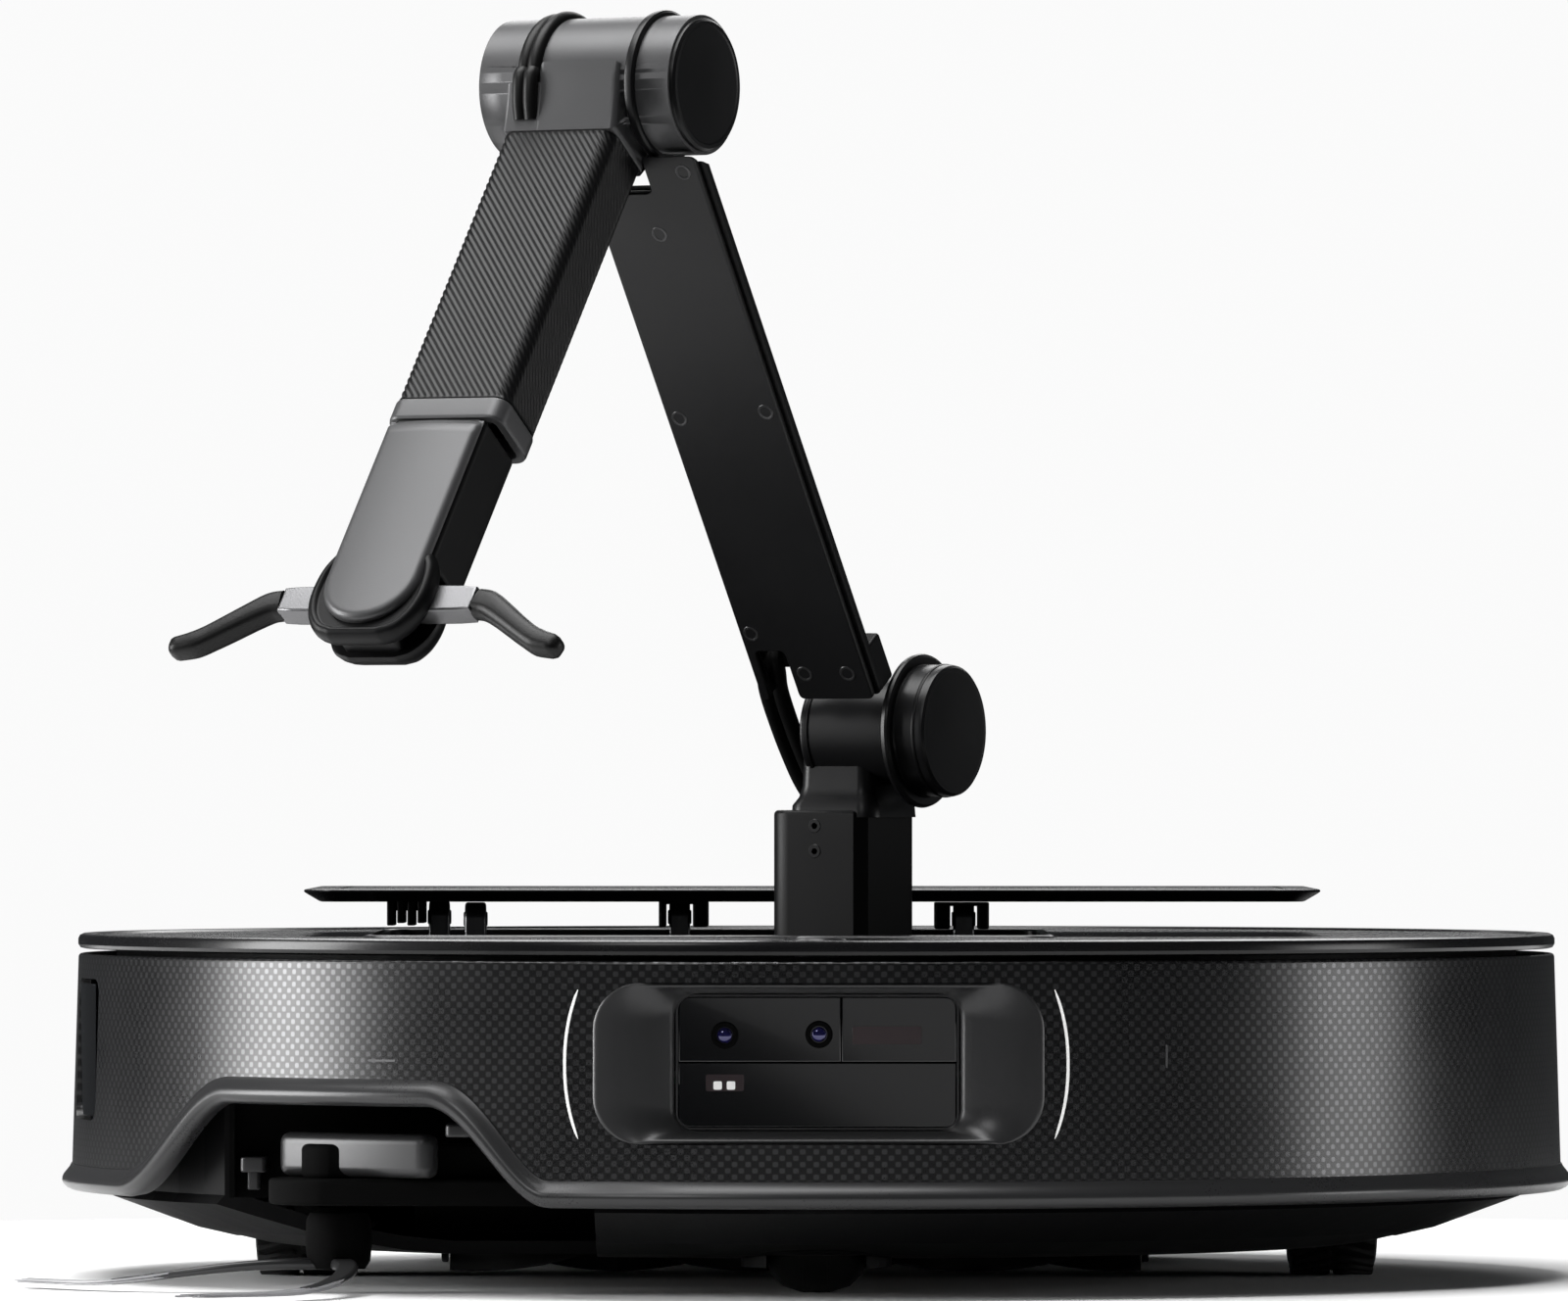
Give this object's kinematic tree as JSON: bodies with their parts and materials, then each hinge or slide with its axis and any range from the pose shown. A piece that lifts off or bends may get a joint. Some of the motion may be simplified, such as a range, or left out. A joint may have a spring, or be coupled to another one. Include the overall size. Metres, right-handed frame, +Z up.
{
  "type": "floor robot with folding arm",
  "caption": "Low round floor-cleaning robot with a camera recess, side brush and raised lid, carrying a turret arm with an elbow, ribbed forearm, rolling wrist and two-finger gripper.",
  "frame": {"origin": "centre of the round body on the flat belly of the chassis pan, 8 mm above the floor the wheels stand on", "axes": "+Z up, -Y to the front with the camera recess, +X to the robot's left"},
  "size_m": [0.3617, 0.4125, 0.2935],
  "materials": {
    "body_plastic": "satin black moulded plastic with a soft gloss",
    "pan_plastic": "dark grey moulded plastic",
    "arm_housing": "fine-grained satin charcoal plastic",
    "arm_metal": "satin black painted aluminium",
    "sleeve": "black with fine slanted ribs",
    "grey_cover": "satin mid-grey",
    "window_glass": "polished black window",
    "light_white": "milky white light guide",
    "silver_metal": "brushed silver metal",
    "rubber": "matt black rubber",
    "tyre": "black ribbed tyre",
    "felt": "grey looped mop cloth",
    "board": "green circuit board"
  },
  "bodies": {
    "chassis": {"chassis_pan": "pan_plastic", "deck": "body_plastic", "rear_shell": "body_plastic", "arm_bay": "pan_plastic", "dust_bin": "pan_plastic", "battery_pack": "pan_plastic", "main_board": "board", "suction_fan": "pan_plastic", "brush_housing": "pan_plastic", "caster_housing": "pan_plastic", "turret_bearing": "silver_metal"},
    "bumper_body": {"bumper": "body_plastic", "camera_recess": "body_plastic", "camera_window": "window_glass", "light_strip_left": "light_white", "light_strip_right": "light_white", "wall_sensor": "window_glass"},
    "front_links": {"front_link_left": "silver_metal", "front_link_right": "silver_metal"},
    "rear_links": {"rear_link_left": "silver_metal", "rear_link_right": "silver_metal"},
    "lid": {"lid_plate": "body_plastic", "lid_bracket_left": "pan_plastic", "lid_bracket_middle": "pan_plastic", "lid_bracket_right": "pan_plastic"},
    "turret": {"column": "arm_metal", "shoulder_housing": "arm_housing", "shoulder_cable": "rubber"},
    "upper_arm": {"upper_arm_frame": "arm_metal", "upper_arm_cover": "arm_housing", "shoulder_drum": "arm_housing", "elbow_cap": "arm_housing", "elbow_housing": "arm_housing"},
    "forearm": {"elbow_barrel": "arm_housing", "elbow_end_cap": "arm_housing", "forearm_cap": "grey_cover", "forearm_sleeve": "sleeve", "forearm_band": "grey_cover", "wrist_motor": "silver_metal", "elbow_cable": "rubber"},
    "wrist": {"wrist_body": "arm_metal", "palm": "arm_metal", "wrist_cover": "grey_cover"},
    "finger_left": {"finger_link_left": "silver_metal", "finger_tip_left": "rubber"},
    "finger_right": {"finger_link_right": "silver_metal", "finger_tip_right": "rubber"},
    "swing_left": {"wheel_arm_left": "pan_plastic"},
    "swing_right": {"wheel_arm_right": "pan_plastic"},
    "wheel_left": {"drive_wheel_left": "tyre"},
    "wheel_right": {"drive_wheel_right": "tyre"},
    "caster": {"caster_fork": "pan_plastic"},
    "caster_roll": {"caster_wheel": "rubber"},
    "roller_left_body": {"roller_left": "rubber"},
    "roller_right_body": {"roller_right": "rubber"},
    "mop_left_body": {"mop_left": "felt"},
    "mop_right_body": {"mop_right": "felt"},
    "brush_swing": {"side_brush_arm": "pan_plastic"},
    "brush_spin": {"side_brush": "rubber"},
    "button": {"power_button": "grey_cover"}
  },
  "joints": [
    {"name": "turret_yaw", "type": "hinge", "parent": "chassis", "child": "turret", "pos_m": [0.0056, -0.0375, 0.043], "axis": [0, 0, 1], "range_deg": [-60, 90]},
    {"name": "shoulder_pitch", "type": "hinge", "parent": "turret", "child": "upper_arm", "pos_m": [0.0056, -0.0375, 0.1205], "axis": [0.866, -0.5, 0], "range_deg": [-45, 8], "deforming": ["shoulder_cable"]},
    {"name": "elbow_pitch", "type": "hinge", "parent": "upper_arm", "child": "forearm", "pos_m": [-0.0439, -0.12323, 0.26699], "axis": [0.866, -0.5, 0], "range_deg": [-90, 10], "deforming": ["elbow_cable"]},
    {"name": "wrist_roll", "type": "hinge", "parent": "forearm", "child": "wrist", "pos_m": [-0.08102, -0.17372, 0.18433], "axis": [-0.3009, -0.5212, -0.7986], "range_deg": [-90, 90]},
    {"name": "finger_left_swing", "type": "hinge", "parent": "wrist", "child": "finger_left", "pos_m": [-0.10662, -0.19506, 0.1478], "axis": [-0.3993, -0.6916, 0.6018], "range_deg": [0, 64]},
    {"name": "finger_right_swing", "type": "hinge", "parent": "wrist", "child": "finger_right", "pos_m": [-0.0867, -0.20656, 0.1478], "axis": [-0.3993, -0.6916, 0.6018], "range_deg": [-64, 0]},
    {"name": "lid_swing", "type": "hinge", "parent": "chassis", "child": "front_links", "pos_m": [0, 0.014, 0.052], "axis": [-1, 0, 0], "range_deg": [0, 45]},
    {"name": "lid_level", "type": "hinge", "parent": "front_links", "child": "lid", "pos_m": [0, 0.014, 0.076], "axis": [-1, 0, 0], "range_deg": [-45, 0]},
    {"name": "rear_link_swing", "type": "hinge", "parent": "chassis", "child": "rear_links", "pos_m": [0, 0.066, 0.052], "axis": [-1, 0, 0], "range_deg": [0, 45]},
    {"name": "bumper_press", "type": "slide", "parent": "chassis", "child": "bumper_body", "axis": [0, 1, 0], "range_m": [0, 0.003], "stiffness_N_per_m": 1200, "springref_m": -0.002},
    {"name": "suspension_left", "type": "hinge", "parent": "chassis", "child": "swing_left", "pos_m": [-0.1088, 0.038, 0.036], "axis": [1, 0, 0], "range_deg": [0, 25]},
    {"name": "suspension_right", "type": "hinge", "parent": "chassis", "child": "swing_right", "pos_m": [0.1088, 0.038, 0.036], "axis": [1, 0, 0], "range_deg": [0, 25]},
    {"name": "wheel_left_spin", "type": "hinge", "parent": "swing_left", "child": "wheel_left", "pos_m": [-0.1218, 0, 0.027], "axis": [1, 0, 0], "continuous": true},
    {"name": "wheel_right_spin", "type": "hinge", "parent": "swing_right", "child": "wheel_right", "pos_m": [0.1218, 0, 0.027], "axis": [1, 0, 0], "continuous": true},
    {"name": "caster_swivel", "type": "hinge", "parent": "chassis", "child": "caster", "pos_m": [0, -0.118, 0.024], "axis": [0, 0, 1], "continuous": true},
    {"name": "caster_spin", "type": "hinge", "parent": "caster", "child": "caster_roll", "pos_m": [0, -0.1165, 0.007], "axis": [1, 0, 0], "continuous": true},
    {"name": "roller_left_spin", "type": "hinge", "parent": "chassis", "child": "roller_left_body", "pos_m": [-0.046, -0.0225, 0.0075], "axis": [1, 0, 0], "continuous": true},
    {"name": "roller_right_spin", "type": "hinge", "parent": "chassis", "child": "roller_right_body", "pos_m": [0.037, -0.0225, 0.0075], "axis": [1, 0, 0], "continuous": true},
    {"name": "mop_left_spin", "type": "hinge", "parent": "chassis", "child": "mop_left_body", "pos_m": [-0.056, 0.088, 0], "axis": [0, 0, 1], "continuous": true},
    {"name": "mop_right_spin", "type": "hinge", "parent": "chassis", "child": "mop_right_body", "pos_m": [0.056, 0.088, 0], "axis": [0, 0, 1], "continuous": true},
    {"name": "brush_arm_swing", "type": "hinge", "parent": "chassis", "child": "brush_swing", "pos_m": [-0.066, -0.126, 0.012], "axis": [0, 0, 1], "range_deg": [0, 40]},
    {"name": "side_brush_spin", "type": "hinge", "parent": "brush_swing", "child": "brush_spin", "pos_m": [-0.109, -0.118, 0.012], "axis": [0, 0, 1], "continuous": true},
    {"name": "button_press", "type": "slide", "parent": "chassis", "child": "button", "axis": [0, 0, -1], "range_m": [0, 0.0006], "stiffness_N_per_m": 500, "springref_m": -0.001}
  ],
  "couplings": [
    {"joint": "finger_right_swing", "follows": "finger_left_swing", "ratio": -1},
    {"joint": "lid_level", "follows": "lid_swing", "ratio": -1},
    {"joint": "rear_link_swing", "follows": "lid_swing", "ratio": 1},
    {"joint": "roller_right_spin", "follows": "roller_left_spin", "ratio": 1},
    {"joint": "mop_right_spin", "follows": "mop_left_spin", "ratio": -1}
  ]
}
